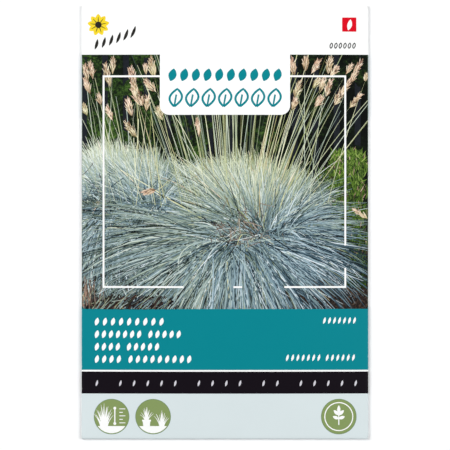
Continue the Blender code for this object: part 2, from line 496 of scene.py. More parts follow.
# The printer's colour chart: rows of one hue from its darkest to its lightest ink. A stroke's lightness runs
# from 0 to 1 along a row, and its hue is the number of a row or lies between two of them.
CHART = [
    [ink(13, 25, 33), ink(55, 77, 91), ink(112, 139, 152), ink(164, 188, 199), ink(222, 233, 240)],
    [ink(22, 28, 22), ink(76, 92, 78), ink(134, 151, 134), ink(182, 195, 176), ink(228, 234, 220)],
    [ink(28, 30, 14), ink(92, 98, 54), ink(154, 163, 104), ink(200, 204, 152), ink(234, 234, 196)],
    [ink(58, 36, 30), ink(134, 96, 80), ink(198, 158, 134), ink(226, 196, 172), ink(246, 232, 214)],
    [ink(20, 17, 19), ink(62, 54, 53), ink(112, 100, 92), ink(162, 148, 132), ink(214, 202, 182)],
    [ink(8, 16, 6), ink(34, 56, 16), ink(72, 105, 28), ink(114, 148, 54), ink(168, 190, 96)],
]
STEEL, SAGE, STRAW, PLUME, EARTH, LEAF = range(len(CHART))

# The export bakes through a map of this name where a piece has one
STROKE_MAP = "OFBake"


def make_stroke_ink():
    """Ink of a stroke, read off the colour chart: lightness across its map, hue up it.

    Each row of the chart covers the rows below it as far as the hue has come up to it.
    """
    material, tree, shader = new_material("stroke ink", 0.5, 0.1)
    place = add_node(tree, "ShaderNodeUVMap", uv_map=STROKE_MAP).outputs["UV"]
    parts = add_node(tree, "ShaderNodeSeparateXYZ", {"Vector": place})
    row = maths(tree, "MULTIPLY", parts.outputs["Y"], float(len(CHART) - 1))
    stops = [0.0, 0.25, 0.5, 0.75, 1.0]
    colour = ramp(tree, parts.outputs["X"], list(zip(stops, CHART[0])))
    for number, inks in enumerate(CHART[1:]):
        over = maths(tree, "SUBTRACT", row, float(number), use_clamp=True)
        inks_of_row = ramp(tree, parts.outputs["X"], list(zip(stops, inks)))
        colour = mix_colours(tree, over, colour, inks_of_row)
    tree.links.new(colour, shader.inputs["Base Color"])
    return material


stroke_ink = make_stroke_ink()


def ribbon(path, width, lift):
    """Flat strips along centre lines path (strip, point, 2), their edges half the width to either side."""
    way = np.gradient(path, axis=1)
    way /= np.linalg.norm(way, axis=-1, keepdims=True) + 1e-9
    sideways = np.stack([-way[..., 1], way[..., 0]], -1)
    sideways = sideways * np.broadcast_to(width, path.shape[:2])[..., None] / 2
    edges = np.stack([path + sideways, path - sideways], 2)
    points = laid(edges[..., 0], edges[..., 1], np.reshape(lift, (-1, 1, 1)))
    numbers = np.arange(points.size // 3).reshape(points.shape[:3])
    corners = [numbers[:, :-1, 0], numbers[:, :-1, 1], numbers[:, 1:, 1], numbers[:, 1:, 0]]
    return points.reshape(-1, 3), np.stack(corners, -1).reshape(-1, 4)


def shortened(values, share):
    """Values along each stroke, interpolated at even steps over its first share."""
    count = values.shape[1]
    place = share[:, None] * np.linspace(0, 1, count) * (count - 1)
    low = np.minimum(place.astype(int), count - 2)
    part = (place - low)[..., None]
    rows = np.arange(len(values))[:, None]
    return values[rows, low] * (1 - part) + values[rows, low + 1] * part


def strokes(name, path, width, light, hue, lift):
    """Strokes along centre lines path (stroke, point, 2), with a width, lightness and hue for each point.

    A stroke ends where it first leaves the picture's field, and it is left out when little of it remains.
    """
    x, y = path[..., 0], path[..., 1]
    inside = np.minimum(np.minimum(x - picture_left, picture_right - x),
                        np.minimum(y - teal_top, picture_top - y))
    rows = np.arange(len(path))
    first_out = np.argmax(inside < 0, 1)
    before, after = inside[rows, np.maximum(first_out - 1, 0)], inside[rows, first_out]
    leaving = (first_out - 1 + before / (before - after + 1e-9)) / (path.shape[1] - 1)
    share = np.where((inside < 0).any(1), np.where(first_out > 0, leaving, 0), 1.0)
    shortest_share = 0.05
    keep = share > shortest_share
    spread = np.broadcast_arrays(x, y, width, light, hue)
    values = shortened(np.stack(spread, -1)[keep], share[keep])
    lift = np.broadcast_to(lift, len(path))[keep]
    points, faces = ribbon(values[..., :2], values[..., 2], lift)
    row = values[..., 4:5] / (len(CHART) - 1)
    map_hair, map_margin = 0.006, 0.004  # they keep a stroke's faces from having no width on the map
    across = np.array([-map_hair, map_hair])
    uv = np.stack(np.broadcast_arrays(values[..., 3:4] + across, row - across), -1).reshape(-1, 2)
    uv = np.clip(uv, map_margin, 1 - map_margin)
    piece = new_piece(name, points, faces, stroke_ink, uv, STROKE_MAP)
    piece.visible_shadow = False


def straight(start, bearing, length, bend, points):
    """Centre lines from their starts, turning evenly by bend from a bearing, in radians from x.

    Each point is the last one and an even step along the heading there.
    """
    along = np.linspace(0, 1, points)
    heading = bearing[:, None] + bend[:, None] * along
    step = length[:, None] / (points - 1) * np.stack([np.cos(heading), np.sin(heading)])
    travelled = np.cumsum(step, -1) - step[..., :1]
    return np.stack(start, -1)[:, None] + np.moveaxis(travelled, 0, -1)


# ------------------------------------------------------------------ the printed picture: shrub
# A low shrub of small bright leaves at the picture's right edge, with a few rusty ones. It is widest below
# its top, and it fades into shade towards its foot.

shrub_chance = np.random.default_rng(31)
leaf_count = 4200
shrub_foot, shrub_top, shrub_right = -19, 19.8, 41
leaf_y = shrub_chance.uniform(shrub_foot, shrub_top, leaf_count)
shrub_width = 6.0 + 8.0 * np.clip((leaf_y + 6) / 14, 0, 1) - 6.0 * np.clip((leaf_y - 13) / 8, 0, 1)
leaf_x = shrub_right - shrub_chance.beta(1.2, 1.3, leaf_count) * shrub_width
leaf_x = leaf_x - 0.5 + 1.0 * np.sin(0.9 * leaf_y)
rusty_share = 0.05
rusty = shrub_chance.random(leaf_count) < rusty_share
leaf_light = 0.40 + shrub_chance.normal(0, 0.19, leaf_count) + 0.011 * (leaf_y - 8)
leaf_bearing = shrub_chance.normal(1.6, 0.5, leaf_count)
leaf_length = shrub_chance.uniform(0.8, 2.4, leaf_count)
leaf_bend = shrub_chance.normal(0, 0.12, leaf_count)
leaf_path = straight((leaf_x, leaf_y), leaf_bearing, leaf_length, leaf_bend, 4)
leaf_width = 0.25 * np.sin(np.pi * np.linspace(0.15, 0.95, 4))
leaf_hue = np.where(rusty, PLUME + 0.5, LEAF - 0.05 + shrub_chance.normal(0, 0.05, leaf_count))
strokes("print_shrub", leaf_path, leaf_width, leaf_light[:, None], leaf_hue[:, None],
        np.linspace(0.016, 0.028, leaf_count))

# ------------------------------------------------------------------ the printed picture: clumps of grass
# Two rounded clumps of fine stiff blades with a smaller one at the left edge. Each grows from one crown: the
# middle blades stand up, the outer ones lean over, and those leaning to the viewer hide the crown. The main
# clump has two more groups that stand up out of it, a shoulder at its left and its upright middle. Dead
# straws lie over the crowns, and the ground is bare at the picture's left foot.


def tuft(chance, count, root, length, crown, leaning, view, points=9, distance=150.0):
    """Blades of one clump in picture millimetres, seen from in front and from a view angle above.

    A blade grows in one of many small bundles, each set at random on an oval crown and leaning away from its
    middle, the more the farther out. The slope falls off with the share of the way along the blade to the
    power 1.5, which bends it over. Blades to the back are shorter, most of all to the back and right, and
    those to the front and the left are a little longer. Steps along a blade are added up. A point then lies
    across at x and up at height * cos(view) + depth * sin(view), enlarged as it comes nearer.
    Gives paths, shares along, nearness, height, depth, tone of the bundle and enlargement.
    """
    blades_in_bundle = 7
    bundles = count // blades_in_bundle
    bundle = chance.integers(0, bundles, count)
    stray_share, stray_factor = 0.16, 3.0
    stray = np.where(chance.random(count) < stray_share, stray_factor, 1.0)
    turn = chance.uniform(0, 2 * np.pi, bundles)
    turn = turn - 0.25 * np.cos(turn)
    off_middle = chance.uniform(0, 1, bundles) ** 0.55
    start_x = (crown[0] * off_middle * np.cos(turn))[bundle] + chance.normal(0, 0.8, count)
    start_depth = (crown[1] * off_middle * np.sin(turn))[bundle] + chance.normal(0, 0.8, count)
    bearing = (turn + chance.normal(0, 0.26, bundles))[bundle] + stray * chance.normal(0, 0.15, count)
    outward = np.clip(off_middle**1.6 + chance.normal(0, 0.10, bundles), 0, 1)[bundle]
    outward = leaning * np.clip(outward + chance.normal(0, 0.06, count), 0, 1)
    slope = np.radians(88 - 72 * outward + stray * chance.normal(0, 5, count))
    to_back, to_right = np.sin(bearing), np.cos(bearing)
    reach = length * chance.triangular(0.55, 0.88, 1.18, count) * (0.66 + 0.44 * outward)
    reach = reach * (1 - 0.50 * np.clip(outward * to_back, 0, 1) ** 0.28)
    reach = reach * (1 + 0.22 * np.clip(-outward * to_back, 0, 1)) * (1 - 0.08 * to_right)
    reach = reach * (1 - 0.55 * outward * np.clip(to_back, 0, 1) * np.clip(to_right, 0, 1))
    reach = reach * (1 - 0.10 * np.clip(to_right, 0, 1) ** 8)
    droop = np.radians(np.clip(chance.normal(25, 14, count), 0, 80)) * (0.35 + outward)
    sway = stray * chance.normal(0, 0.14, count)
    along = np.linspace(0, 1, points)
    tilt = slope[:, None] - droop[:, None] * along**1.5
    heading = bearing[:, None] + sway[:, None] * along**1.3
    step = (reach / (points - 1))[:, None]
    out = np.cos(tilt) * step
    x = start_x[:, None] + np.cumsum(out * np.cos(heading), 1)
    depth = start_depth[:, None] + np.cumsum(out * np.sin(heading), 1)
    height = np.cumsum(np.sin(tilt) * step, 1)
    near = height * np.sin(view) - depth * np.cos(view)
    size = distance / (distance - near)
    path = np.stack([root[0] + x * size, root[1] + (height * np.cos(view) + depth * np.sin(view)) * size], -1)
    tone = chance.normal(0, 0.03, bundles)[bundle]
    return path, along, near, height, depth, tone, size


def grass_clump(name, seed, count, root, length, crown, leaning, view, lifts, hue_shift, light_shifts):
    """Two pieces for one clump, its far and its near blades, with the light and hue that their place gives.

    Blades are darker at their feet, lighter and yellower to the back, darker and more uneven out to the
    sides and bluer to the right. One stretch to the left of the crown is a little lighter and evenly lit, a
    bell curve in the share of the way aside. Some blades catch the light and some are in shade.
    root is the crown's middle, crown holds its half sizes, view is an angle in degrees, lifts are the heights
    of the farthest and the nearest blades, and light_shifts are added at the front and at the back.
    """
    chance = np.random.default_rng(seed)
    path, along, near, height, depth, tone, size = tuft(
        chance, count, root, length, crown, leaning, np.radians(view))

    # Blades are laid in the order of how near they come, shuffled a little
    order = np.argsort(near[:, 5] + chance.normal(0, 4.0, count))
    rank = np.empty(count)
    rank[order] = np.arange(count) / count
    behind = np.clip(0.5 + 0.9 * depth[:, 6] / length, 0, 1)[:, None]
    lit_share, shaded_share = 0.12, 0.20
    kind = chance.random(count)
    tone = tone + chance.normal(0, 0.165, count)
    tone = tone + np.where(kind < lit_share, 0.24, 0) - np.where(kind > 1 - shaded_share, 0.27, 0)
    rise = np.clip(along * 1.7, 0, 1) ** 0.8
    aside = (path[..., 0] - root[0]) / length
    below = (root[1] - path[..., 1]) / length
    side_shade = (1 - 0.6 * behind) * np.where(aside > 0, 0.20, 0.17) * aside**2
    side_shade = side_shade + 0.22 * np.clip(below - 0.6, 0, 0.5)
    flat_lit = np.exp(-(((aside + 0.45) / 0.42) ** 2)) * np.clip(2.2 * behind, 0, 1)
    contrast = (1 - 0.35 * behind) * (1 + 0.5 * np.clip(np.abs(aside), 0, 1))
    contrast = contrast * (1 - 0.6 * flat_lit * (1 - 0.8 * along))
    light = 0.29 + 0.24 * rise + tone[:, None] * contrast - side_shade + 0.08 * flat_lit
    light = light + light_shifts[0] * (1 - behind) + light_shifts[1] * behind
    light = light + (0.04 + 0.34 * behind) * along * np.clip(height / length * 1.3, 0, 1)
    hue = 1.0 * behind + 0.26 - 0.5 * np.clip(aside, -0.5, 1) * (1 - behind)
    hue = np.clip(hue + chance.normal(0, 0.25, count)[:, None], 0, 1.4)
    dry_share = 0.03
    dry = (chance.random(count) < dry_share) * chance.uniform(0.8, 1.8, count)
    hue = hue + 0.22 * behind * along + dry[:, None]
    width = 0.225 * chance.uniform(0.6, 1.4, count)[:, None] * size * (1 - 0.7 * along**3)
    lift = lifts[0] + (lifts[1] - lifts[0]) * rank
    for part, chosen in (("far", rank < 0.5), ("near", rank >= 0.5)):
        strokes(f"{name}_{part}", path[chosen], width[chosen], light[chosen],
                np.clip(hue + hue_shift, 0, 3)[chosen], lift[chosen])


def litter(name, seed, count, middle, spread, light, hue, lifts):
    """Short dead straws or ends of blades lying every way about a middle, strewn by a bell curve each way.

    light holds the mean and spread of their lightness, and hue and lifts are ranges.
    """
    chance = np.random.default_rng(seed)
    start_x = middle[0] + spread[0] * chance.normal(0, 0.5, count)
    start_y = middle[1] + spread[1] * chance.normal(0, 0.5, count)
    path = straight((start_x, start_y), chance.uniform(0, np.pi, count), chance.uniform(1.5, 5.5, count),
                    chance.normal(0, 0.4, count), 7)
    strokes(name, path, chance.uniform(0.12, 0.26, count)[:, None],
            light[0] + light[1] * chance.normal(0, 1, count)[:, None],
            chance.uniform(hue[0], hue[1], count)[:, None], chance.uniform(lifts[0], lifts[1], count))


grass_clump("print_edge_clump", seed=12, count=1500, root=(-38.0, -5.0), length=20.0, crown=(6, 6),
            leaning=1.0, view=48, lifts=(0.029, 0.033), hue_shift=0.25, light_shifts=(0.02, 0.20))
grass_clump("print_left_clump", seed=11, count=3800, root=(-31.0, 7.0), length=23.0, crown=(8, 7),
            leaning=1.0, view=48, lifts=(0.034, 0.044), hue_shift=-0.20, light_shifts=(0.08, 0.14))
litter("print_left_litter", seed=41, count=200, middle=(-27.5, 6.5), spread=(11.0, 5.0),
       light=(0.36, 0.20), hue=(PLUME + 0.4, EARTH + 0.2), lifts=(0.046, 0.070))
litter("print_left_tangle", seed=44, count=700, middle=(-27.5, 6.8), spread=(15.0, 5.0),
       light=(0.35, 0.23), hue=(STEEL, SAGE - 0.1), lifts=(0.050, 0.080))
grass_clump("print_main_leaning", seed=5, count=6800, root=(3.6, -1.5), length=29.0, crown=(9.5, 8),
            leaning=1.0, view=49, lifts=(0.050, 0.090), hue_shift=0.0, light_shifts=(0.035, 0.015))
grass_clump("print_main_shoulder", seed=7, count=1700, root=(-20.6, 6.4), length=21.5, crown=(4.4, 6),
            leaning=0.45, view=49, lifts=(0.060, 0.078), hue_shift=-0.25, light_shifts=(0.02, -0.03))
grass_clump("print_main_upright", seed=6, count=4600, root=(10.9, 2.0), length=23.3, crown=(10.2, 8),
            leaning=0.40, view=49, lifts=(0.062, 0.0935), hue_shift=0.06, light_shifts=(0.02, -0.04))
litter("print_main_litter", seed=42, count=130, middle=(6.0, -2.2), spread=(10.0, 4.6),
       light=(0.47, 0.17), hue=(EARTH - 0.2, EARTH + 0.2), lifts=(0.088, 0.0945))

# The bare corner at the picture's foot. Its strokes are of three kinds: dark soil between the blades, fine
# sunlit blades that run down over it, and dry upright ones at the edge.
corner_chance = np.random.default_rng(43)
soil, fine, dry = 640, 90, 80
corner_count = soil + fine + dry


def for_kinds(soil_value, fine_value, dry_value):
    """A value for each stroke of the corner, by its kind."""
    return np.repeat([soil_value, fine_value, dry_value], [soil, fine, dry])


corner_x = np.concatenate([corner_chance.normal(-26.5, 5.5, soil), corner_chance.uniform(-37, -15, fine),
                           corner_chance.normal(-39.2, 1.6, dry)])
corner_y = np.concatenate([-25.2 + 5.0 * corner_chance.beta(1.2, 1.9, soil),
                           corner_chance.uniform(-24.5, -16.5, fine),
                           corner_chance.uniform(-25.5, -20.0, dry)])
corner_bearing = for_kinds(3.95, 3.95, 1.66) + corner_chance.normal(0, 0.20, corner_count)
corner_length = for_kinds(1.8, 5.0, 3.6) * corner_chance.uniform(0.6, 1.4, corner_count)
corner_light = for_kinds(0.08, 0.50, 0.38)
corner_light = corner_light + corner_chance.normal(0, 1, corner_count) * for_kinds(0.08, 0.17, 0.22)
corner_hue = for_kinds(EARTH, SAGE - 0.4, EARTH - 0.15)
corner_hue = corner_hue + corner_chance.normal(0, 1, corner_count) * for_kinds(0.25, 0.5, 0.4)
corner_bend = corner_chance.normal(0, 0.12, corner_count)
corner_width = for_kinds(0.42, 0.14, 0.18) * corner_chance.uniform(0.7, 1.3, corner_count)
corner_lift = for_kinds(0.0855, 0.0895, 0.0895) + 0.005 * corner_chance.random(corner_count)
strokes("print_bare_corner", straight((corner_x, corner_y), corner_bearing, corner_length, corner_bend, 7),
        corner_width[:, None], corner_light[:, None], np.clip(corner_hue, 0, 4.4)[:, None], corner_lift)

# ------------------------------------------------------------------ the printed picture: stems and plumes
# Flower stems rise out of the clumps and fan apart, straight and straw-coloured: shaded ones at the back, and
# before them sunlit ones in clusters and the ones that carry a plume. A plume is a feather of pinkish straw
# spikelets that points on along its stem.

# Foot x, foot y, tip x, tip y and width of each plume
PLUMES = np.array([
    (-39.3, 40.2, -40.2, 45.4, 1.3), (-38.5, 36.6, -40.4, 41.8, 1.5), (-37.8, 40.9, -38.7, 46.2, 0.9),
    (-32.8, 38.6, -34.5, 46.2, 1.9), (-32.2, 42.3, -32.0, 47.6, 1.1), (-32.1, 29.0, -33.8, 33.3, 1.1),
    (-39.4, 30.4, -40.6, 33.8, 1.0), (-35.5, 33.5, -36.2, 36.5, 0.8), (-23.6, 33.1, -26.7, 39.0, 3.2),
    (-25.9, 38.8, -27.1, 44.8, 2.3), (-26.6, 30.2, -28.1, 35.7, 2.0), (-25.1, 24.1, -28.9, 29.2, 1.9),
    (-20.1, 41.4, -21.6, 47.7, 2.9), (-19.7, 37.2, -23.2, 40.8, 1.7), (-17.8, 29.0, -19.3, 33.2, 2.1),
    (-22.5, 31.7, -22.1, 36.4, 1.2), (19.8, 41.8, 18.8, 47.4, 2.1), (22.9, 43.1, 23.1, 47.7, 2.0),
    (24.6, 42.5, 27.2, 46.9, 1.7), (29.3, 42.2, 30.4, 47.7, 1.7), (30.0, 41.8, 32.2, 44.4, 1.4),
    (28.9, 35.9, 30.4, 41.3, 1.6), (35.7, 39.6, 39.5, 47.2, 1.7), (31.1, 33.4, 34.4, 38.9, 2.3),
    (25.6, 33.0, 27.8, 36.0, 1.7), (35.5, 32.7, 39.2, 37.1, 1.2), (40.0, 40.3, 40.7, 42.2, 1.2),
    (24.9, 38.2, 27.1, 41.3, 1.4), (19.8, 35.4, 21.6, 40.9, 1.6), (34.5, 42.3, 36.3, 45.2, 0.4),
    (19.2, 32.0, 20.2, 35.6, 1.4), (40.9, 1.0, 36.3, 3.9, 0.8), (-22.5, 42.1, -22.9, 45.0, 0.6),
    (-7.4, 24.4, -8.1, 30.2, 0.55), (-19.6, 9.3, -23.6, 8.3, 1.6), (-25.0, 35.2, -26.6, 40.6, 2.6),
    (27.0, 37.0, 28.6, 42.0, 1.1), (33.4, 37.0, 36.4, 41.4, 1.3)])

# A stem's place in the fan runs from about -1, where it leans farthest to the left, to 1 at the right. The
# sunlit clusters have a place each and a number of stems. The left clump has a few stems of its own.
stem_chance = np.random.default_rng(17)
shaded_stems, left_stems, stem_points = 48, 20, 10
cluster_fan = [-0.79, -0.70, -0.63, -0.56, -0.40, -0.31, -0.23, -0.15, -0.08, 0.01, 0.12, 0.21, 0.34, 0.45,
               0.54, 0.62, 0.71, 0.79, 0.90, 1.00, 1.14]
cluster_stems = [3, 2, 2, 2, 2, 3, 5, 5, 5, 3, 1, 1, 4, 4, 4, 3, 3, 2, 1, 2, 2]
sunlit_fan = np.repeat(cluster_fan, cluster_stems)
sunlit_fan = sunlit_fan + stem_chance.normal(0, 0.018, sunlit_fan.size)
fan = np.concatenate([stem_chance.uniform(-0.85, 0.80, shaded_stems), sunlit_fan])
stem_foot_x = 3.0 + 15.0 * fan + stem_chance.normal(0, 0.4, fan.size)
stem_foot_y = stem_chance.uniform(-1, 9, fan.size) - 4 * fan**2
stem_lean = np.radians(90 - np.where(fan > 0, 31, 20) * fan + stem_chance.normal(0, 1.3, fan.size))
stem_bend = -0.12 * fan + stem_chance.normal(0, 0.05, fan.size)
stem_length = stem_chance.uniform(30, 54, fan.size)
stem_path = straight((stem_foot_x, stem_foot_y), stem_lean, stem_length, stem_bend, stem_points)
left_fan = stem_chance.uniform(-1, 1, left_stems)
left_foot = (-31.0 + 9.0 * left_fan, stem_chance.uniform(8, 16, left_stems))
left_lean = np.radians(97 - 12 * left_fan + stem_chance.normal(0, 7.0, left_stems))
left_length = stem_chance.uniform(9, 32, left_stems)
left_bend = stem_chance.normal(0.05, 0.06, left_stems)
left_path = straight(left_foot, left_lean, left_length, left_bend, stem_points)

plume_foot, plume_tip, plume_width = PLUMES[:, :2], PLUMES[:, 2:4], PLUMES[:, 4]
plume_way = plume_tip - plume_foot
plume_bearing = np.arctan2(plume_way[:, 1], plume_way[:, 0])

# The stem that carries a plume is drawn from the plume's foot down into the clump, and bends upright
carrier_length = np.clip(plume_foot[:, 1] - 6, 4, 40) * 1.05
plume_lean = np.pi / 2 - plume_bearing
uprighting = 1.6 * np.sign(plume_lean) * np.clip(np.abs(plume_lean) - 0.45, 0, 0.5)
carrier_path = straight(plume_foot.T, plume_bearing + np.pi, carrier_length,
                        np.where(plume_foot[:, 0] > 0, 0.10, -0.04) + uprighting, stem_points)
all_stems = np.concatenate([stem_path, left_path, carrier_path])
stem_count = len(all_stems)
sunlit = np.arange(stem_count) >= shaded_stems
stem_light = np.where(sunlit, 0.73, 0.40) + stem_chance.normal(0, 0.14, stem_count)
uneven_start = stem_chance.uniform(0, 6, stem_count)[:, None]
stem_light = stem_light[:, None] + 0.06 * np.sin(np.linspace(0, 9, stem_points) + uneven_start)
stem_hue = stem_chance.choice([SAGE - 0.05, SAGE + 0.3, STRAW - 0.25, STRAW + 0.2], stem_count,
                              p=[0.18, 0.30, 0.40, 0.12])
stem_hue = stem_hue + stem_chance.normal(0, 0.15, stem_count)
up_stem = np.linspace(0, 1, stem_points)
stem_width = stem_chance.uniform(0.10, 0.21, stem_count)[:, None] * np.clip(0.15 + 2.6 * up_stem, 0, 1)
strokes("print_flower_stems", all_stems, stem_width,
        stem_light + 0.10 * (0.5 - up_stem), stem_hue[:, None] + 0.35 * (0.5 - up_stem),
        np.where(sunlit, 0.084, 0.066) + stem_chance.uniform(0, 0.010, stem_count))

# Branchlets to the left and right in turn, each with a few spikelets along it. With u the share of the way up
# the plume, a branchlet's length goes with the plume's width times (u + 0.06)^0.45 (1 - u)^0.8.
branchlets, spikelets = 17, 5
plume, branchlet, along_branchlet = (
    index.ravel() for index in np.indices((len(PLUMES), branchlets, spikelets)))
branchlet_side = np.where(branchlet % 2 > 0, 1, -1)
up_plume = 0.92 * np.clip(branchlet + stem_chance.uniform(-0.4, 0.4, plume.size), 0, branchlets) / branchlets
out_share = (along_branchlet + stem_chance.uniform(0, 1, plume.size)) / spikelets
girth = plume_width[plume] * 0.62 * (up_plume + 0.06) ** 0.45 * (1 - up_plume) ** 0.8
ahead = 0.85 * up_plume + 0.10 * out_share
sideways = np.stack([-np.sin(plume_bearing), np.cos(plume_bearing)], -1)[plume]
spikelet_foot = plume_foot[plume] + plume_way[plume] * ahead[:, None]
spikelet_foot = spikelet_foot + sideways * (branchlet_side * girth * out_share)[:, None]
spikelet_bearing = plume_bearing[plume] + branchlet_side * (0.06 + 0.24 * out_share)
spikelet_bearing = spikelet_bearing + stem_chance.normal(0, 0.13, plume.size)
spikelet_length = stem_chance.uniform(0.9, 2.0, plume.size) * (1.1 - 0.4 * up_plume)
spikelet_bend = stem_chance.normal(0, 0.2, plume.size)
spikelet_path = straight(spikelet_foot.T, spikelet_bearing, spikelet_length, spikelet_bend, 5)
spikelet_light = 0.68 + stem_chance.normal(0, 0.25, plume.size)
shaded_share = 0.30
spikelet_light = spikelet_light - 0.42 * (stem_chance.random(plume.size) < shaded_share)
plume_hue = np.clip(stem_chance.normal(PLUME - 0.05, 0.15, len(PLUMES)), 2.6, 3.1)
spikelet_hue = plume_hue[plume] - 0.35 * (1 - up_plume) + stem_chance.normal(0, 0.12, plume.size)
spikelet_width = 0.20 * np.sin(np.pi * np.linspace(0.12, 0.97, 5)) ** 0.8
strokes("print_plumes", spikelet_path, spikelet_width, spikelet_light[:, None] + np.linspace(-0.16, 0.20, 5),
        spikelet_hue[:, None], 0.0962 + 0.003 * up_plume[::-1])

# ------------------------------------------------------------------ the printed picture: frame line and tab
# A fine white line is printed over the picture as a frame, with gaps at its foot and its right side. A white
# tab with two round corners hangs into it from the head. It carries a row of solid leaves and a row of
# outlined ones in teal.


def joined(*shapes):
    """Several shapes, each given as (points, faces), as one."""
    starts = np.cumsum([0] + [len(points) for points, faces in shapes])
    faces = [faces + start for (points, faces), start in zip(shapes, starts)]
    return np.concatenate([points for points, _ in shapes]), np.concatenate(faces)


def flat_ink(name, colour):
    """Solid printing ink of one colour."""
    material, tree, shader = new_material(name, 0.45, 0.12)
    grained(tree, shader, colour)
    return material


white_ink = flat_ink("white ink", WHITE_PAPER)
teal_ink = flat_ink("teal ink", TEAL_INK)
half_line = 0.53 / 2
frame_left, frame_right, frame_foot, frame_head = -34.70, 34.36, -18.44, 41.75
right_gap_foot, right_gap_head = -13.0, -6.6
head_pieces = ((frame_left, -18.5), (18.5, frame_right))
foot_pieces = ((frame_left, -11.8), (2.4, 4.9), (16.9, frame_right))
upright_lift, level_lift, tab_lift, tab_leaf_lift = 0.104, 0.1045, 0.106, 0.112


def upright_line(x, foot, head):
    """A piece of the frame's line that runs up, from a height to a height."""
    return oblong(x - half_line, x + half_line, foot, head, upright_lift)


def level_line(left, right, y):
    """A piece of the frame's line that runs across."""
    return oblong(left, right, y - half_line, y + half_line, level_lift)


new_piece("print_frame_line", *joined(
    upright_line(frame_left, frame_foot - half_line, frame_head + half_line),
    upright_line(frame_right, right_gap_head, frame_head + half_line),
    upright_line(frame_right, frame_foot - half_line, right_gap_foot),
    *[level_line(left, right, frame_head) for left, right in head_pieces],
    *[level_line(left, right, frame_foot) for left, right in foot_pieces]), white_ink)

# At a share d of the way down a corner, the tab's half width is less by the corner's radius times
# 1 - sqrt(1 - d^2)
tab_half, tab_foot, tab_round = 18.6, 30.7, 2.7
tab_head = picture_top + 0.3
into_round = 1 - np.cos(np.linspace(0, np.pi / 2, 9))
tab_y = np.concatenate([tab_foot + tab_round * into_round, evenly(tab_foot + tab_round, tab_head, 1.0)[1:]])
below_round = np.clip((tab_foot + tab_round - tab_y) / tab_round, 0, 1)
tab_edge = tab_half - tab_round * (1 - np.sqrt(1 - below_round**2))
new_piece("print_tab", *patch(-tab_edge, tab_edge, tab_y, tab_lift), white_ink)


def leaves(x, y, length, bearing, bend, width, lift):
    """Pointed leaves with their feet at x and y: ribbons as wide as a power of the sine of the way along."""
    x, y = np.broadcast_arrays(np.asarray(x, float), y)
    spread = [np.broadcast_to(np.asarray(value, float), x.size) for value in (bearing, length, bend)]
    path = straight((x, y), *spread, 11)
    return ribbon(path, width * np.sin(np.pi * np.linspace(0.02, 0.98, 11)) ** 0.8, np.full(x.size, lift))


def hollow_leaves(x, foot, out, height, power, line, lift):
    """A line round each leaf of a row, from its foot up one side and down the other.

    A side stands out by a power of the sine of the way up, and the leaf slants to the right as it rises.
    """
    up = np.linspace(0, 1, 13)
    side_out = out * np.sin(np.pi * up) ** power
    outline_x = np.concatenate([side_out, -side_out[::-1][1:]])
    outline_y = height * np.concatenate([up, up[::-1][1:]])
    path_x = x[:, None] + outline_x + leaf_slant * outline_y
    path = np.stack([path_x, np.broadcast_to(foot + outline_y, path_x.shape)], -1)
    return ribbon(path, np.full(outline_x.size, line), np.full(len(x), lift))


leaf_slant = 0.18
bold_leaves = leaves(np.linspace(-15.6, 14.4, 10), 40.4, length=3.65, bearing=np.radians(66), bend=0.25,
                     width=2.3, lift=tab_leaf_lift)
thin_x, thin_foot = np.linspace(-14.5, 13.7, 7), 33.1
thin_leaves = hollow_leaves(thin_x, thin_foot, out=1.75, height=5.0, power=0.9, line=0.62, lift=tab_leaf_lift)
vein_length, vein_line = 3.4, 0.5
up_vein = np.linspace(0, vein_length, 6)
vein_x = thin_x[:, None] + leaf_slant * up_vein
vein_path = np.stack([vein_x, np.broadcast_to(thin_foot + up_vein, vein_x.shape)], -1)
veins = ribbon(vein_path, np.full(up_vein.size, vein_line), np.full(len(thin_x), tab_leaf_lift))
new_piece("print_tab_leaves", *joined(bold_leaves, thin_leaves, veins), teal_ink)

# ------------------------------------------------------------------ the teal band and the dark strip
# Rows of small leaves in white on the teal, bold on the left and fine on the right, and one sparse row of
# seeds on the near-black strip below the hairline.


def grouped(groups, left, right, pitch, gap):
    """Places of marks set in groups: a pitch from mark to mark, and a gap more from group to group.

    The whole row is then scaled to run from left to right.
    """
    group = np.repeat(np.arange(len(groups)), groups)
    distance = np.arange(group.size) * pitch + group * gap
    return left + (right - left) * distance / distance[-1]


small_lift = 0.02

# The groups of leaves in each row, the middles of the first and the last one, and the height of their feet
BOLD_ROWS = [((9,), -36.6, -18.1, -29.44), ((7, 5), -36.6, -13.2, -33.02), ((4, 5), -36.6, -19.4, -36.60),
             ((4, 9), -36.6, -10.2, -40.15)]
FINE_ROWS = [((7,), 28.4, 37.0, -28.94), ((7, 6), 17.8, 36.7, -39.56)]


def band_row(row, foot_left, length, width):
    """One row of leaves on the band, their feet some way to the left of their middles."""
    groups, left, right, foot = row
    x = grouped(groups, left, right, pitch=1.0, gap=0.6) - foot_left
    return leaves(x, foot, length, bearing=np.radians(66), bend=0.25, width=width, lift=small_lift)


bold_rows = [band_row(row, foot_left=0.4, length=2.28, width=1.15) for row in BOLD_ROWS]
fine_rows = [band_row(row, foot_left=0.3, length=1.95, width=0.7) for row in FINE_ROWS]
new_piece("print_band_leaves", *joined(*bold_rows, *fine_rows), white_ink)

seed_x = grouped((1, 5, 4, 2, 5), -36.9, 37.1, pitch=3.92, gap=2.81)
strip_seeds = leaves(seed_x, -46.8, length=1.75, bearing=np.radians(68), bend=0.2, width=0.62,
                     lift=small_lift)
new_piece("print_strip_seeds", *strip_seeds, flat_ink("pale ink", ink(206, 204, 212)))

